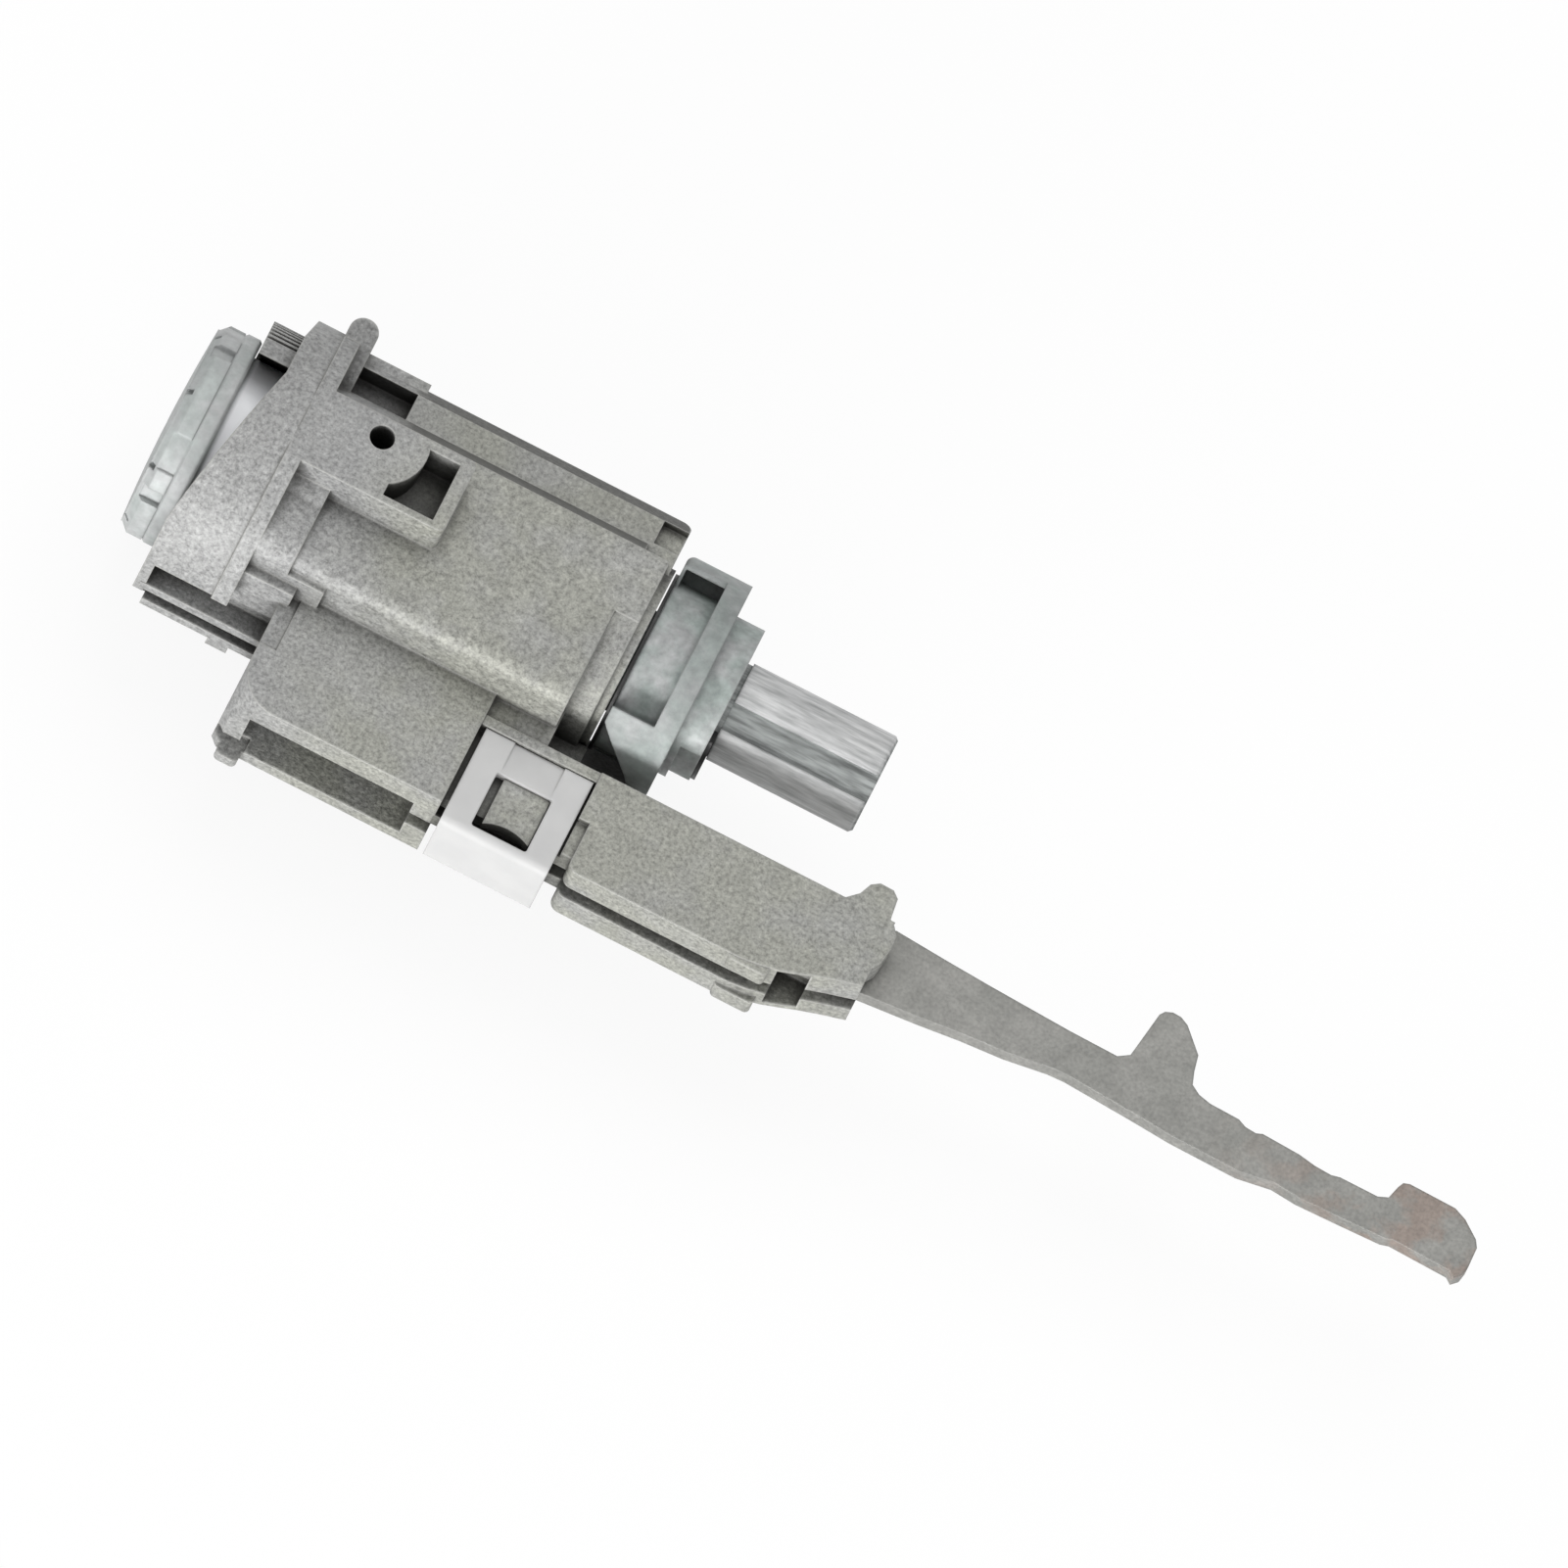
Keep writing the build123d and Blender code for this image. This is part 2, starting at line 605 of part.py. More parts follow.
def rotor_plug():
    """Plug with keyway, wafer slots, spring pockets, shutter room and tail."""
    body = rod_x(plug_front, -tail_len, plug_r) + rod_x(-tail_len, cam_front, tail_r)
    body -= key_slot(plug_front - 1, plug_front + key_depth)
    room_x1 = shutter_x + shutter_reach + shutter_room
    room_y1 = shutter_y + shutter_eye_r + 0.25
    room_z = shutter_half_z + shutter_room
    body -= block(plug_front - 1, room_x1, shutter_y - shutter_reach - shutter_room, room_y1, -room_z, room_z)
    body -= rod_z(room_z - 0.1, room_z + 1.1, shutter_eye_r + 0.1, shutter_x, shutter_y)
    body -= rod_z(-shutter_pin_half, shutter_pin_half, shutter_pin_r, shutter_x, shutter_y)
    for i in range(wafer_count):
        x = wafer_first_x + i * wafer_pitch
        half = wafer_thick / 2 + wafer_gap
        slot_y = wafer_w / 2 + wafer_gap
        slot = block(x - half, x + half, -slot_y, slot_y, -plug_r - 1, plug_r + 1)
        seat_z1 = spring_seat_z + spring_seat_thick
        seat = block(x - half, x + half, slot_y - wafer_notch_w + 0.2, slot_y, spring_seat_z, seat_z1)
        body -= slot - seat
    groove_half = follower_r + follower_groove_gap
    groove = rod_x(follower_x - groove_half, follower_x + groove_half, plug_r + 1)
    groove -= rod_x(follower_x - 4, follower_x + 4, follower_groove_r)
    return body - groove


def wafer(i):
    """Wafer plate with its key window and a notch for its spring."""
    x = wafer_first_x + i * wafer_pitch
    half = wafer_thick / 2
    body = rod_x(x - half, x + half, wafer_tip) & rod_x(x - half, x + half, wafer_tip, z=wafer_travel)
    body = body & block(x - half, x + half, -wafer_w / 2, wafer_w / 2, -plug_r, plug_r)
    shift = wafer_code_step * ((i * 2) % 3 - 1)
    window_y = key_slot_w / 2 + wafer_window_gap
    body -= block(x - 1, x + 1, -window_y, window_y, wafer_window_z0 + shift, wafer_window_z1 + shift)
    notch_z1 = spring_seat_z + spring_seat_thick + wafer_travel + 0.1
    body -= block(x - 1, x + 1, wafer_w / 2 - wafer_notch_w, wafer_w / 2 + 1, spring_foot_z, notch_z1)
    return body


def wafer_spring(i):
    """Small coil spring between a wafer's notch and its seat in the plug."""
    x = wafer_first_x + i * wafer_pitch
    low = spring_foot_z + spring_wire_r + spring_end_gap
    high = spring_seat_z - spring_wire_r - spring_end_gap
    coil_r = wafer_thick / 2 - spring_wire_r
    return coil(coil_r, spring_wire_r, high - low, spring_turns, (x, wafer_spring_y, low))


def coil(coil_r, wire_r, height, turns, start, turn=None):
    """Coil spring that climbs along Z from start, or along another axis by turn."""
    count = turns * coil_steps
    points = [(*polar(coil_r, i * 360 / coil_steps), height * i / count) for i in range(count + 1)]
    path = Polyline(*points)
    section = Plane(origin=path @ 0, z_dir=path % 0) * RegularPolygon(wire_r, coil_sides)
    body = sweep(section, path=path, transition=Transition.RIGHT)
    if turn is not None:
        body = turn * body
    return Pos(*start) * body


def dust_shutter():
    """Flap behind the key hole, hinged on its pin along Z."""
    body = rod_z(-shutter_half_z, shutter_half_z, shutter_eye_r, shutter_x, shutter_y)
    x0 = shutter_x - shutter_eye_r
    y0 = shutter_y - shutter_reach
    body += block(x0, x0 + shutter_thick, y0, shutter_y, -shutter_half_z, shutter_half_z)
    return body - rod_z(-10, 10, shutter_pin_r + running_gap, shutter_x, shutter_y)


def shutter_pin():
    """Pin that the dust shutter swings on."""
    return rod_z(-shutter_pin_half, shutter_pin_half, shutter_pin_r, shutter_x, shutter_y)


def shutter_spring():
    """Small torsion coil round the end of the shutter's pin."""
    start = (shutter_x, shutter_y, shutter_half_z + shutter_room + 0.05)
    return coil(shutter_pin_r + shutter_wire_r + 0.1, shutter_wire_r, 0.9, 2, start)


def key_follower():
    """Pin that lifts the lever's tail when the rotor pushes it out."""
    tip_y = -follower_groove_r - 0.3
    tail_y = lever_top_y + 0.12
    body = rod_y(tail_y, tip_y, follower_r, follower_x, lever_mid_z)
    return chamfer(body.edges().filter_by(GeomType.CIRCLE), follower_edge)


def thrust_washer():
    """Thin washer between the barrel's collar and the cam."""
    return rod_x(washer_front, cam_front, washer_r) - rod_x(-1, 5, tail_r + running_gap)


def drive_cam():
    """Cam with upper and lower lobes, a second tier and the grooved shaft."""
    body = rod_x(cam_front, cam_disc_front, cam_hub_r)
    body += rod_x(cam_disc_front, cam_tier_front, cam_disc_core_r)
    upper = sector_x(cam_front, cam_tier_front, cam_disc_r, *cam_upper_deg)
    upper = fillet(upper.edges().filter_by(GeomType.CIRCLE).sort_by(Axis.X)[0], cam_upper_corner_r)
    pocket_x0 = cam_front + cam_upper_wall / 2
    body += upper - ring_sector(
        pocket_x0, cam_disc_front, cam_hub_r, cam_disc_r - cam_upper_wall, *cam_upper_pocket_deg
    )
    body += sector_x(cam_disc_front, cam_tier_front, cam_disc_r, *cam_disc_deg)
    lower = sector_x(cam_front, cam_tier_front, cam_lower_r, *cam_lower_deg)
    ramp = [(0.3, -6.8), (1.0, -7.6), (2.0, -8.6), (4.0, -10.4), (5.0, -11.3), (6.2, -12.7), (6.2, -16),
            (-1, -16), (-1, -6)]
    lower -= Rot(25, 0, 0) * block(cam_front - 1, cam_disc_front, cam_lower_top, cam_lower_r, 0, cam_lower_r)
    body += lower - Rot(25, 0, 0) * prism_z(ramp, -8, 20)
    tier = rod_x(cam_tier_front, shaft_front, cam_tier_r)
    step_x0 = cam_tier_front + 0.9
    tier -= ring_sector(step_x0, shaft_front + 1, cam_tier_step_r, cam_tier_r + 1, *cam_tier_step_deg)
    body += tier
    shaft = rod_x(shaft_front - 1, shaft_rear, shaft_r)
    body += chamfer(shaft.faces().sort_by(Axis.X)[-1].edges(), shaft_edge)
    seat_x1 = shaft_front + ring_thick + running_gap
    body -= rod_x(shaft_front, seat_x1, cam_tier_r + 1) - rod_x(shaft_front - 1, seat_x1 + 1, ring_seat_r)
    groove_floor_r = shaft_r - shaft_groove_depth
    return body - ring_sector(seat_x1, shaft_rear + 1, groove_floor_r, shaft_r + 1, *shaft_groove_deg)


def retaining_ring():
    """Open black ring behind the cam's second tier."""
    return ring_sector(shaft_front, shaft_front + ring_thick, ring_seat_r + running_gap, ring_r, *ring_deg)


def lock_lever():
    """Long flat lever: tail, pivot, spring notch, shoulder, hooks and stepped tip."""
    z0 = lever_mid_z - lever_thick / 2
    notch_y = lever_top_y - spring_notch_depth
    tail = [
        (lever_tail_x, lever_top_y),
        (pivot_x - 6, lever_top_y),
        (spring_notch_x0, lever_top_y - 0.2),
        (spring_notch_x0, notch_y),
        (spring_notch_x1, notch_y),
        (spring_notch_x1, lever_top_y - 0.3),
        (arm_roof_x1 + 0.3, lever_top_y - 0.55),
        (arm_roof_x1 + 0.75, -15.5),
    ]
    upper = [
        (38.6, -14.65), (45.0, -15.1), (50.0, -15.4), (60.0, -15.85), (65.8, -15.95), (67.0, -15.1),
        (67.2, -13.7), (67.8, -9.3), (68.2, -8.7), (69.0, -8.35), (70.0, -8.4), (71.0, -8.9), (73.5, -11.5),
        (73.9, -13.4), (74.4, -14.9), (75.5, -15.6), (77.0, -15.95), (80.5, -16.05), (81.5, -16.5),
        (82.8, -16.6), (83.5, -16.3), (88.0, -16.5), (90.0, -16.85), (92.0, -16.95), (93.0, -16.7),
        (97.5, -16.7), (98.6, -16.2), (99.0, -14.6), (99.3, -13.9), (100.0, -13.65), (105.5, -13.75),
        (107.0, -14.4), (109.0, -15.95), (109.5, -16.8), (109.6, -19.3), (109.4, -20.4), (108.7, -21.15),
    ]
    lower = [
        (108.0, -20.6), (101.0, -20.4), (100.0, -20.7), (95.0, -20.9), (90.0, -21.05), (87.0, -20.8),
        (83.0, -21.5), (75.0, -21.4), (70.0, -21.05), (62.0, -20.6), (60.0, -20.7), (55.0, -21.5),
        (50.0, -21.9), (45.0, -22.5), (38.2, -23.15), (20.0, -24.4), (6.0, -23.4), (lever_tail_x, -21.8),
    ]
    body = prism_z(tail + upper + lower, z0, z0 + lever_thick)
    return body - rod_z(-20, 20, pivot_r + pivot_gap, pivot_x, pivot_y)


def lever_pivot_pin():
    """Pin pressed into the arm from its back, blind at the front."""
    body = rod_z(arm_back_z + 0.3, slot_front_z + pivot_blind - 0.2, pivot_r - 0.01, pivot_x, pivot_y)
    return chamfer(body.edges().filter_by(GeomType.CIRCLE), 0.3)


def lever_spring():
    """Coil spring between the slot's roof and the lever's notch."""
    wire_r = 0.22
    top_y = arm_top_y - 0.75
    low_y = lever_top_y - spring_notch_depth + 0.3
    height = top_y - low_y - 2 * wire_r
    start = (lever_spring_x, low_y + wire_r, lever_mid_z)
    return coil(lever_thick / 2 - 0.25, wire_r, height, spring_turns, start, Rot(-90, 0, 0))


def lever_clip():
    """Folded nylon clip round the neck, with a window over the snap."""
    z1 = neck_front_z + clip_fit + clip_wall
    z0 = neck_back_z - clip_fit - clip_wall
    floor_y = neck_bottom_y - clip_floor_gap
    bottom_y = floor_y - clip_wall
    body = block(clip_x0, clip_x1, bottom_y, clip_top_y, z0, z1)
    long_edges = [e for e in body.edges().filter_by(Axis.X) if e.center().Y < bottom_y + 0.1]
    body = fillet(long_edges, clip_edge_r)
    body -= block(clip_x0 - 1, clip_x1 + 1, floor_y, clip_top_y + 1, z0 + clip_wall, z1 - clip_wall)
    window = block(clip_window_x0, clip_window_x1, clip_window_y0, clip_window_y1, 0, z1 + 1)
    body -= fillet(window.edges().filter_by(Axis.Z), clip_window_r)
    ramp = [(clip_window_y1, z1), (clip_top_y, z1 - clip_ramp_depth), (clip_top_y, z1 + 1),
            (clip_window_y1, z1 + 1)]
    return body - prism_x(ramp, clip_window_x0 + 0.3, clip_window_x1 - 0.3)


nodes = {
    "housing": housing(),
    "rotor_head": rotor_head(),
    "rotor_plug": rotor_plug(),
    "dust_shutter": dust_shutter(),
    "shutter_pin": shutter_pin(),
    "shutter_spring": shutter_spring(),
    "key_follower": key_follower(),
    "thrust_washer": thrust_washer(),
    "drive_cam": drive_cam(),
    "retaining_ring": retaining_ring(),
    "lock_lever": lock_lever(),
    "lever_pivot_pin": lever_pivot_pin(),
    "lever_spring": lever_spring(),
    "lever_clip": lever_clip(),
}
for number in range(wafer_count):
    nodes[f"wafer_{number + 1}"] = wafer(number)
    nodes[f"wafer_spring_{number + 1}"] = wafer_spring(number)

os.makedirs("parts", exist_ok=True)
for name, shape in nodes.items():
    export_step(shape, f"parts/{name}.step")
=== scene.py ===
"""Looks of the ignition lock cylinder: materials, casting detail, camera, light and floor."""

import json
import math

import bpy
from mathutils import Matrix, Vector


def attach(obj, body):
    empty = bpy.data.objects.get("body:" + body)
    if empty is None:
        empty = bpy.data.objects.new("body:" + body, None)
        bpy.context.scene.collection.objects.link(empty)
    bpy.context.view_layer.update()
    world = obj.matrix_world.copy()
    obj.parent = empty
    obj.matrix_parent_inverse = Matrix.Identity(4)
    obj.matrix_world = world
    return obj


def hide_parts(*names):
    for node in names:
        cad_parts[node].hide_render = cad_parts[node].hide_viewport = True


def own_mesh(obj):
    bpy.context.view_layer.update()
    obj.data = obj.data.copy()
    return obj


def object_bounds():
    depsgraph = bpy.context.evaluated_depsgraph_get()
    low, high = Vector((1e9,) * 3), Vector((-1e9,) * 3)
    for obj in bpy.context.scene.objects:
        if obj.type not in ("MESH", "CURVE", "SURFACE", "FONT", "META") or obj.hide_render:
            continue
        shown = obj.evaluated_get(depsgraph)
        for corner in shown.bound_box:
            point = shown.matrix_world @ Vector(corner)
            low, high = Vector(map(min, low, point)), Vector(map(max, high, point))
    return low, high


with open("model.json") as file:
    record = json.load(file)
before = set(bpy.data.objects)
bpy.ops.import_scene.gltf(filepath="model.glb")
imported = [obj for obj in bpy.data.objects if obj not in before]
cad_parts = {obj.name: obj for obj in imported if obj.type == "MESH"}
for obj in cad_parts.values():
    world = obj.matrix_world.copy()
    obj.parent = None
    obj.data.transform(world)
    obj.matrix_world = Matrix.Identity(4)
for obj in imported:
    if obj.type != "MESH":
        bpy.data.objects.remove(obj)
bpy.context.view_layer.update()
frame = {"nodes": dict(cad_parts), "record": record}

MM = 0.001

# The photograph's view: turn of the key axis in the picture, roll about it, and the framing
AXIS_TURN = math.radians(27.1)
ROLL = math.radians(25.0)
FRAME_WIDTH = 168.1 * MM
AIM = Vector((20.7, -4.74, 0.0)) * MM
CAMERA_DISTANCE = 1.2
FLOOR_DROP = 0.4 * MM

# Light: a low soft lamp on the arm's side, a wide one over the camera's side, and an uneven world
KEY_PLACE = (-0.08, -0.87, 0.12)
KEY_POWER = 7.0
KEY_SIZE = (0.8, 0.24)
FRONT_PLACE = (0.0, 0.48, 0.83)
FRONT_POWER = 3.1
FRONT_SIZE = (0.7, 0.7)
WORLD_NEAR = 0.7
WORLD_FAR = 0.45
WORLD_FADE = 0.8
FLOOR_SIZE = 6.0
FLOOR_TONE = 0.42
FLOOR_GLOW = 1.25
FLOOR_GLOW_SHARE = 0.7

# Finishes and painted light along the key axis: each mask is 0 at its first place and 1 at its second
OLIVE_FROM = (-36 * MM, -26 * MM)
# Span of the barrel where faces turned up to +Y get painted shade
SLOPE_SHADE_FROM = (-34 * MM, -32 * MM)
SLOPE_SHADE_UP_TO = (0.5 * MM, -0.5 * MM)
CAP_UP_TO = (-50.5 * MM, -50.8 * MM)
# Span of the painted highlight on the head's skirt
SKIRT_HIGHLIGHT_FROM = (-50.8 * MM, -50.0 * MM)
SKIRT_HIGHLIGHT_UP_TO = (-44 * MM, -45 * MM)
CAM_FROM = (-40 * MM, -39 * MM)
SHAFT_FROM = (11.3 * MM, 11.6 * MM)
COPPER_FROM = (78 * MM, 98 * MM)

# The same by distance from the key axis
SKIRT_HIGHLIGHT_OUTSIDE = (9.2 * MM, 9.6 * MM)
RIM_OUTSIDE = (12.4 * MM, 12.7 * MM)
# Inside this radius the shaft's groove gets painted shade
GROOVE_SHADE_INSIDE = (5.65 * MM, 5.45 * MM)


class Shade:
    """Node material under construction, with its principled shader."""

    def __init__(self, name):
        self.material = bpy.data.materials.new(name)
        self.material.use_nodes = True
        self.tree = self.material.node_tree
        self.tree.nodes.clear()
        self.output = self.tree.nodes.new("ShaderNodeOutputMaterial")
        self.shader = self.tree.nodes.new("ShaderNodeBsdfPrincipled")
        self.tree.links.new(self.shader.outputs["BSDF"], self.output.inputs["Surface"])
        coords = self.tree.nodes.new("ShaderNodeTexCoord")
        self.place = coords.outputs["Object"]

    def node(self, kind, inputs=None, **settings):
        """Adds a node, with settings by name and plain or linked inputs by name or number."""
        node = self.tree.nodes.new(kind)
        for key, value in settings.items():
            setattr(node, key, value)
        for key, value in (inputs or {}).items():
            if isinstance(value, bpy.types.NodeSocket):
                self.tree.links.new(value, node.inputs[key])
            else:
                node.inputs[key].default_value = value
        return node

    def set(self, name, value):
        """Sets or links one input of the shader."""
        if isinstance(value, bpy.types.NodeSocket):
            self.tree.links.new(value, self.shader.inputs[name])
        else:
            self.shader.inputs[name].default_value = value

    def noise(self, size, detail=3.0, roughness=0.55, stretch=(1.0, 1.0, 1.0)):
        """Noise with features of about a size in metres."""
        mapping = self.node("ShaderNodeMapping", {"Vector": self.place, "Scale": stretch})
        inputs = {"Vector": mapping.outputs[0], "Scale": 1.0 / size, "Detail": detail, "Roughness": roughness}
        return self.node("ShaderNodeTexNoise", inputs).outputs["Fac"]

    def spread(self, value, low, high, to_low=0.0, to_high=1.0):
        """Maps a value from one range to another, clamped."""
        inputs = {"Value": value, "From Min": low, "From Max": high, "To Min": to_low, "To Max": to_high}
        return self.node("ShaderNodeMapRange", inputs).outputs["Result"]

    def math(self, operation, first, second):
        """One arithmetic step on two values."""
        return self.node("ShaderNodeMath", {0: first, 1: second}, operation=operation).outputs[0]

    def mix(self, fac, first, second, blend="MIX"):
        """Mixes two colours, given as sockets or as triples."""
        node = self.tree.nodes.new("ShaderNodeMix")
        node.data_type = "RGBA"
        node.blend_type = blend
        for index, value in ((0, fac), (6, first), (7, second)):
            if isinstance(value, bpy.types.NodeSocket):
                self.tree.links.new(value, node.inputs[index])
            else:
                node.inputs[index].default_value = value if index == 0 else (*value, 1.0)
        return node.outputs[2]

    def edges(self, radius):
        """Normal that is rounded over the edges, and a mask of those edges for a painted highlight."""
        rounded = self.node("ShaderNodeBevel", {"Radius": radius}, samples=6).outputs["Normal"]
        flat = self.node("ShaderNodeNewGeometry").outputs["Normal"]
        dot = self.node("ShaderNodeVectorMath", {0: rounded, 1: flat}, operation="DOT_PRODUCT")
        return rounded, self.spread(dot.outputs["Value"], 0.995, 0.80)

    def shaded_slopes(self):
        """Mask of the faces that slope away from the arm, between +Y and +Z, for painted shade."""
        normal = self.node("ShaderNodeNewGeometry").outputs["True Normal"]
        y = self.node("ShaderNodeSeparateXYZ", {0: normal}).outputs[1]
        return self.math("MULTIPLY", self.spread(y, 0.35, 0.6), self.spread(y, 0.96, 0.88))

    def along_axis(self):
        """Place along the key axis."""
        return self.node("ShaderNodeSeparateXYZ", {0: self.place}).outputs[0]

    def from_axis(self):
        """Distance from the key axis."""
        across = self.node("ShaderNodeVectorMath", {0: self.place, 1: (0.0, 1.0, 1.0)}, operation="MULTIPLY")
        length = self.node("ShaderNodeVectorMath", {0: across.outputs[0]}, operation="LENGTH")
        return length.outputs["Value"]

    def grain(self, tone, value, contrast, strength):
        """Lightens and darkens a tone by a noise value."""
        low, high = 0.5 - contrast, 0.5 + contrast
        speckle = self.mix(self.spread(value, 0.32, 0.68), (low, low, low), (high, high, high))
        return self.mix(strength, tone, speckle, "OVERLAY")

    def hollow_shade(self, distance, open_at=0.85, shut_at=0.35):
        """Mask of the inner corners and recesses, where painted shade goes."""
        node = self.node("ShaderNodeAmbientOcclusion", {"Distance": distance}, samples=8)
        return self.spread(node.outputs["AO"], open_at, shut_at)

    def bump(self, height, strength, distance, normal):
        """Bump over another normal."""
        inputs = {"Height": height, "Strength": strength, "Distance": distance, "Normal": normal}
        return self.node("ShaderNodeBump", inputs).outputs["Normal"]


def casting_material():
    """Sandy die-cast zinc: olive grey, neutral at the drum, painted highlight on edges, painted shade in
    corners.
    """
    s = Shade("zinc_casting")
    rounded, edge_highlight = s.edges(0.45 * MM)
    x = s.along_axis()
    patches = s.spread(s.noise(9 * MM), 0.35, 0.55, 0.35, 1.0)
    olive = s.math("MULTIPLY", s.spread(x, *OLIVE_FROM), patches)
    tone = s.mix(olive, (0.345, 0.346, 0.342), (0.340, 0.342, 0.307))
    # Painted shade on the barrel's faces turned up to +Y, away from the light
    barrel = s.math("MULTIPLY", s.spread(x, *SLOPE_SHADE_FROM), s.spread(x, *SLOPE_SHADE_UP_TO))
    tone = s.mix(s.math("MULTIPLY", barrel, s.shaded_slopes()), tone, (0.12, 0.12, 0.113))
    grain = s.noise(0.5 * MM, detail=4.0, roughness=0.75)
    tone = s.grain(tone, grain, 0.26, 0.9)
    tone = s.grain(tone, s.noise(2.6 * MM, detail=4.0, roughness=0.6), 0.06, 0.8)
    # Painted highlight along the edges
    tone = s.mix(s.math("MULTIPLY", edge_highlight, 0.72), tone, (0.62, 0.62, 0.59))
    # Painted shade in corners and recesses, near black in the deepest ones
    tone = s.mix(s.math("MULTIPLY", s.hollow_shade(2.0 * MM), 0.5), tone, (0.075, 0.073, 0.065))
    deep_shade = s.math("MULTIPLY", s.hollow_shade(6.0 * MM, 0.60, 0.20), 0.90)
    tone = s.mix(deep_shade, tone, (0.010, 0.009, 0.007))
    s.set("Base Color", tone)
    s.set("Metallic", 0.25)
    s.set("Roughness", s.spread(grain, 0.3, 0.7, 0.5, 0.68))
    normal = s.bump(s.noise(0.45 * MM, detail=2.0), 0.6, 0.12 * MM, rounded)
    s.set("Normal", s.bump(s.noise(1.6 * MM, detail=1.0), 0.25, 0.15 * MM, normal))
    return s.material


def bright_material():
    """Bright zinc: cool and blotchy, with a painted highlight on the head's skirt, dark lobe rims and a
    streaky shaft.
    """
    s = Shade("bright_zinc")
    rounded, edge_highlight = s.edges(0.4 * MM)
    tone = s.mix(s.spread(s.noise(4 * MM), 0.38, 0.62), (0.362, 0.406, 0.389), (0.417, 0.425, 0.425))
    blotch = s.noise(1.3 * MM, detail=4.0, roughness=0.6)
    tone = s.grain(tone, blotch, 0.14, 0.8)
    # Painted highlight along the edges
    tone = s.mix(s.math("MULTIPLY", edge_highlight, 0.4), tone, (0.62, 0.64, 0.63))
    # Painted shade in corners and small recesses
    tone = s.mix(s.math("MULTIPLY", s.hollow_shade(0.9 * MM), 0.5), tone, (0.10, 0.11, 0.11))
    x = s.along_axis()
    tone = s.mix(s.math("MULTIPLY", s.spread(x, *CAP_UP_TO), 0.35), tone, (0.62, 0.63, 0.63))
    away = s.from_axis()
    # Painted highlight: the skirt of the head turned near white
    skirt = s.math("MULTIPLY", s.spread(x, *SKIRT_HIGHLIGHT_FROM), s.spread(x, *SKIRT_HIGHLIGHT_UP_TO))
    skirt = s.math("MULTIPLY", skirt, s.spread(away, *SKIRT_HIGHLIGHT_OUTSIDE))
    tone = s.mix(skirt, tone, (0.97, 0.98, 1.0))
    on_shaft = s.spread(x, *SHAFT_FROM)
    rim = s.math("MULTIPLY", s.spread(away, *RIM_OUTSIDE), s.spread(x, *CAM_FROM))
    tone = s.mix(s.math("MULTIPLY", rim, 0.45), tone, (0.22, 0.235, 0.23))
    streaks = s.noise(0.7 * MM, detail=3.0, roughness=0.6, stretch=(0.12, 1.0, 1.0))
    tone = s.mix(on_shaft, tone, s.grain((0.54, 0.545, 0.545), streaks, 0.2, 1.0))
    # Painted shade in the shaft's groove
    groove = s.math("MULTIPLY", on_shaft, s.spread(away, *GROOVE_SHADE_INSIDE))
    tone = s.mix(groove, tone, s.grain((0.285, 0.30, 0.295), streaks, 0.25, 1.0))
    s.set("Base Color", tone)
    s.set("Metallic", 0.2)
    s.set("Specular IOR Level", 0.35)
    s.set("Roughness", s.spread(s.noise(1.2 * MM), 0.3, 0.7, 0.48, 0.62))
    lines = s.noise(0.5 * MM, detail=2.0, stretch=(0.06, 1.0, 1.0))
    normal = s.bump(lines, 0.25, 0.06 * MM, rounded)
    s.set("Normal", s.bump(s.noise(0.8 * MM, detail=2.0), 0.15, 0.08 * MM, normal))
    return s.material


def lever_material():
    """Sintered steel: warm grey, with coppery patches towards the tip."""
    s = Shade("lever_steel")
    rounded, edge_highlight = s.edges(0.35 * MM)
    tone = s.mix(s.spread(s.noise(6 * MM), 0.35, 0.65), (0.252, 0.252, 0.236), (0.286, 0.283, 0.267))
    x = s.along_axis()
    blush = s.math("MULTIPLY", s.spread(x, *COPPER_FROM), s.spread(s.noise(3.5 * MM), 0.44, 0.60))
    tone = s.mix(s.math("MULTIPLY", blush, 0.65), tone, (0.285, 0.215, 0.180))
    speckle = s.noise(0.4 * MM, detail=3.0)
    tone = s.grain(tone, speckle, 0.16, 0.7)
    tone = s.grain(tone, s.noise(2.2 * MM, detail=4.0, roughness=0.6), 0.07, 0.8)
    # Painted highlight along the edges
    tone = s.mix(s.math("MULTIPLY", edge_highlight, 0.35), tone, (0.50, 0.50, 0.48))
    # Painted shade in corners and recesses
    tone = s.mix(s.math("MULTIPLY", s.hollow_shade(1.5 * MM), 0.4), tone, (0.06, 0.06, 0.055))
    s.set("Base Color", tone)
    s.set("Metallic", 0.3)
    s.set("Roughness", s.spread(speckle, 0.3, 0.7, 0.44, 0.58))
    s.set("Normal", s.bump(speckle, 0.25, 0.06 * MM, rounded))
    return s.material


def steel_material():
    """Plain steel for pins, springs and washers."""
    s = Shade("spring_steel")
    rounded, edge_highlight = s.edges(0.1 * MM)
    tone = s.mix(s.spread(s.noise(2 * MM), 0.35, 0.65), (0.46, 0.46, 0.46), (0.56, 0.56, 0.57))
    # Painted highlight along the edges
    s.set("Base Color", s.mix(s.math("MULTIPLY", edge_highlight, 0.3), tone, (0.7, 0.7, 0.7)))
    s.set("Metallic", 0.9)
    s.set("Roughness", s.spread(s.noise(0.6 * MM), 0.3, 0.7, 0.25, 0.38))
    s.set("Normal", s.bump(s.noise(0.3 * MM), 0.1, 0.03 * MM, rounded))
    return s.material


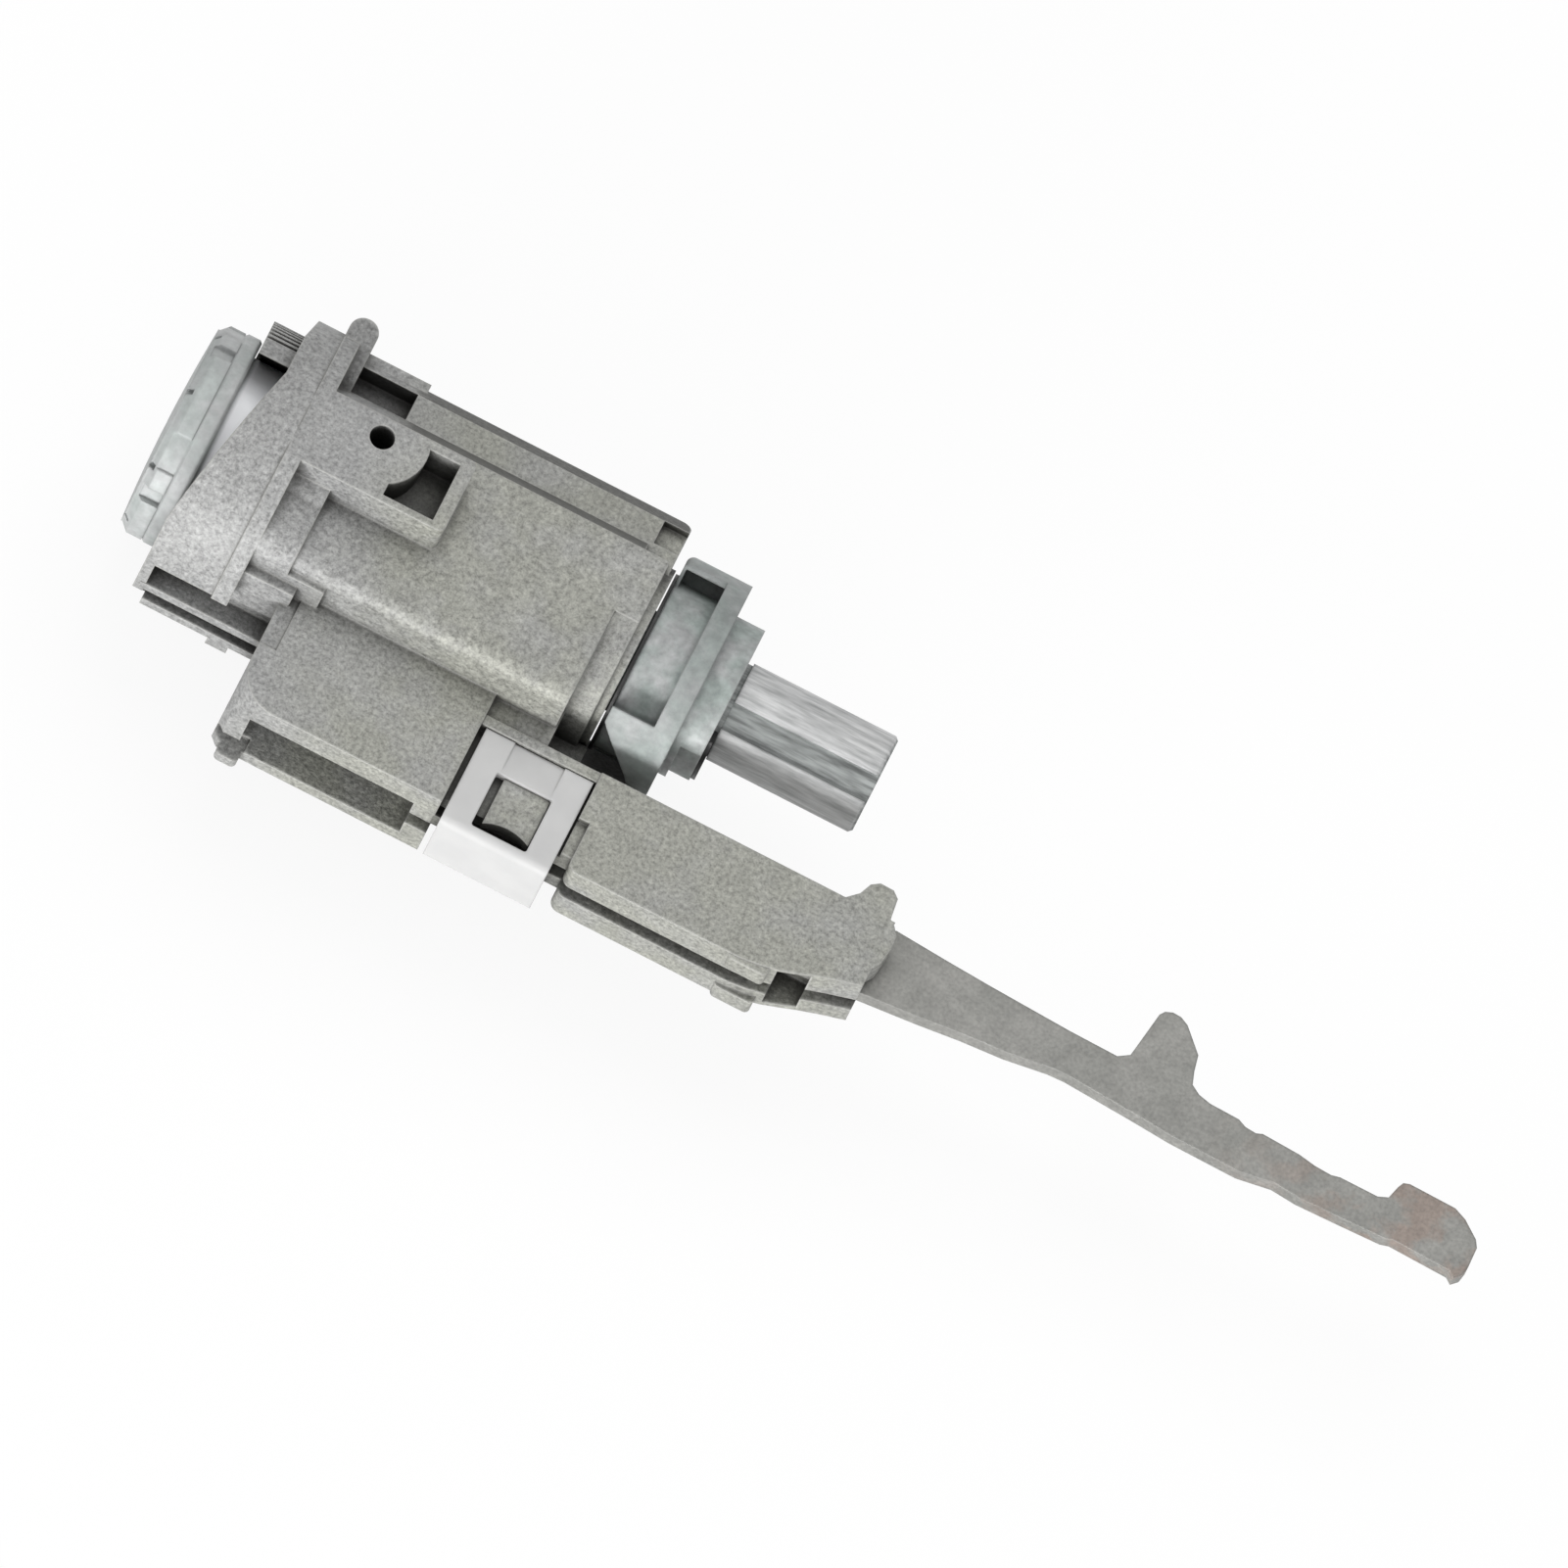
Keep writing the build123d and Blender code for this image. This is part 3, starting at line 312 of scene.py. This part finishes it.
def brass_material():
    """Stamped brass for the wafers, with marks of the tool."""
    s = Shade("wafer_brass")
    rounded, edge_highlight = s.edges(0.1 * MM)
    tone = s.mix(s.spread(s.noise(2 * MM), 0.35, 0.65), (0.50, 0.38, 0.17), (0.60, 0.47, 0.22))
    # Painted highlight along the edges
    s.set("Base Color", s.mix(s.math("MULTIPLY", edge_highlight, 0.4), tone, (0.75, 0.62, 0.34)))
    s.set("Metallic", 0.9)
    s.set("Roughness", s.spread(s.noise(0.7 * MM), 0.3, 0.7, 0.28, 0.42))
    s.set("Normal", s.bump(s.noise(0.3 * MM, stretch=(1.0, 1.0, 0.1)), 0.12, 0.03 * MM, rounded))
    return s.material


def nylon_material():
    """Milky, slightly translucent nylon."""
    s = Shade("white_nylon")
    rounded, edge_highlight = s.edges(0.35 * MM)
    tone = s.mix(s.spread(s.noise(5 * MM), 0.35, 0.65), (0.58, 0.58, 0.578), (0.615, 0.615, 0.61))
    # Painted shade in corners and recesses
    tone = s.mix(s.math("MULTIPLY", s.hollow_shade(1.2 * MM), 0.35), tone, (0.35, 0.34, 0.33))
    s.set("Base Color", tone)
    s.set("Subsurface Weight", 0.25)
    s.set("Subsurface Scale", 1.2 * MM)
    s.set("Subsurface Radius", (1.0, 1.0, 1.0))
    s.set("Roughness", s.spread(s.noise(1.5 * MM), 0.3, 0.7, 0.38, 0.52))
    s.set("Specular IOR Level", 0.4)
    s.set("Normal", s.bump(s.noise(1.2 * MM, detail=1.0), 0.12, 0.05 * MM, rounded))
    return s.material


def black_material():
    """Black moulded ring; its slot also dresses the steel thrust washer, painted black for the shade it lies
    in.
    """
    s = Shade("black_ring")
    rounded, edge_highlight = s.edges(0.15 * MM)
    tone = s.mix(s.spread(s.noise(1.5 * MM), 0.3, 0.7), (0.008, 0.008, 0.008), (0.02, 0.02, 0.02))
    # Painted highlight along the edges
    s.set("Base Color", s.mix(s.math("MULTIPLY", edge_highlight, 0.4), tone, (0.06, 0.06, 0.06)))
    s.set("Roughness", s.spread(s.noise(0.5 * MM), 0.3, 0.7, 0.4, 0.55))
    s.set("Normal", s.bump(s.noise(0.3 * MM), 0.1, 0.04 * MM, rounded))
    return s.material


def squash_spring():
    """Copy of the lever spring, carried by the housing in place of the hidden original."""
    spring = bpy.data.objects.new("lever_coil", frame["nodes"]["lever_spring"].data.copy())
    bpy.context.scene.collection.objects.link(spring)
    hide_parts("lever_spring")
    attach(spring, "housing")
    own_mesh(spring)


def dress_nodes():
    """Gives every node the material of its slot."""
    made = {
        "zinc_casting": casting_material(),
        "bright_zinc": bright_material(),
        "lever_steel": lever_material(),
        "spring_steel": steel_material(),
        "wafer_brass": brass_material(),
        "white_nylon": nylon_material(),
        "black_ring": black_material(),
    }
    for entry in frame["record"]["subparts"]:
        data = frame["nodes"][entry["node"]].data
        data.materials.clear()
        data.materials.append(made[entry["material_slot"]])


def add_camera():
    """Camera square to the key axis, as in the photograph."""
    turn_x = math.cos(AXIS_TURN)
    turn_y = math.sin(AXIS_TURN)
    right = Vector((turn_x, turn_y * math.cos(ROLL), turn_y * math.sin(ROLL)))
    up = Vector((-turn_y, turn_x * math.cos(ROLL), turn_x * math.sin(ROLL)))
    back = Vector((0.0, -math.sin(ROLL), math.cos(ROLL)))
    data = bpy.data.cameras.new("camera")
    data.type = "ORTHO"
    data.ortho_scale = FRAME_WIDTH
    data.clip_end = 10.0
    camera = bpy.data.objects.new("camera", data)
    bpy.context.scene.collection.objects.link(camera)
    axes = Matrix((right, up, back)).transposed().to_4x4()
    camera.matrix_world = Matrix.Translation(AIM + back * CAMERA_DISTANCE) @ axes
    bpy.context.scene.camera = camera


def add_lamp(name, place, power, size):
    """Soft lamp that points at the object, with its width and height."""
    data = bpy.data.lights.new(name, "AREA")
    data.energy = power
    data.shape = "RECTANGLE"
    data.size, data.size_y = size
    lamp = bpy.data.objects.new(name, data)
    bpy.context.scene.collection.objects.link(lamp)
    lamp.location = place
    lamp.rotation_euler = (AIM - Vector(place)).to_track_quat("-Z", "Y").to_euler()


def seen_directly(tree):
    """Socket that is 1 for camera, glossy and transmission rays."""
    path = tree.nodes.new("ShaderNodeLightPath")
    value = path.outputs["Is Camera Ray"]
    for name in ("Is Glossy Ray", "Is Transmission Ray"):
        step = tree.nodes.new("ShaderNodeMath")
        step.operation = "MAXIMUM"
        tree.links.new(value, step.inputs[0])
        tree.links.new(path.outputs[name], step.inputs[1])
        value = step.outputs[0]
    return value


def add_world():
    """Even world, dimmer on the far side, and white to the camera."""
    world = bpy.data.worlds.new("world")
    world.use_nodes = True
    tree = world.node_tree
    sky = tree.nodes["Background"]
    output = tree.nodes["World Output"]
    coords = tree.nodes.new("ShaderNodeTexCoord")
    split = tree.nodes.new("ShaderNodeSeparateXYZ")
    fade = tree.nodes.new("ShaderNodeMapRange")
    fade.inputs["From Min"].default_value = -WORLD_FADE
    fade.inputs["From Max"].default_value = WORLD_FADE
    fade.inputs["To Min"].default_value = WORLD_NEAR
    fade.inputs["To Max"].default_value = WORLD_FAR
    tree.links.new(coords.outputs["Generated"], split.inputs[0])
    tree.links.new(split.outputs["Y"], fade.inputs["Value"])
    sky.inputs["Color"].default_value = (1.0, 1.0, 1.0, 1.0)
    tree.links.new(fade.outputs["Result"], sky.inputs["Strength"])
    white = tree.nodes.new("ShaderNodeBackground")
    white.inputs["Color"].default_value = (1.0, 1.0, 1.0, 1.0)
    path = tree.nodes.new("ShaderNodeLightPath")
    swap = tree.nodes.new("ShaderNodeMixShader")
    tree.links.new(path.outputs["Is Camera Ray"], swap.inputs[0])
    tree.links.new(sky.outputs[0], swap.inputs[1])
    tree.links.new(white.outputs[0], swap.inputs[2])
    tree.links.new(swap.outputs[0], output.inputs["Surface"])
    bpy.context.scene.world = world


def add_floor():
    """Pale floor that shows white to the camera and keeps a soft shadow."""
    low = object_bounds()[0]
    bpy.ops.mesh.primitive_plane_add(size=FLOOR_SIZE, location=(0.0, 0.0, low[2] - FLOOR_DROP))
    floor = bpy.context.object
    floor.name = "floor"
    s = Shade("floor")
    s.set("Base Color", (FLOOR_TONE, FLOOR_TONE, FLOOR_TONE, 1.0))
    s.set("Roughness", 0.9)
    glow = s.node("ShaderNodeEmission", {"Strength": FLOOR_GLOW}).outputs[0]
    pale = s.node("ShaderNodeMixShader", {0: FLOOR_GLOW_SHARE, 1: s.shader.outputs[0], 2: glow}).outputs[0]
    swap = s.node("ShaderNodeMixShader", {0: seen_directly(s.tree), 1: s.shader.outputs[0], 2: pale})
    s.tree.links.new(swap.outputs[0], s.output.inputs["Surface"])
    floor.data.materials.append(s.material)


dress_nodes()
squash_spring()
add_camera()
add_lamp("key", KEY_PLACE, KEY_POWER, KEY_SIZE)
add_lamp("front", FRONT_PLACE, FRONT_POWER, FRONT_SIZE)
add_world()
add_floor()
bpy.context.scene.view_settings.view_transform = "Standard"
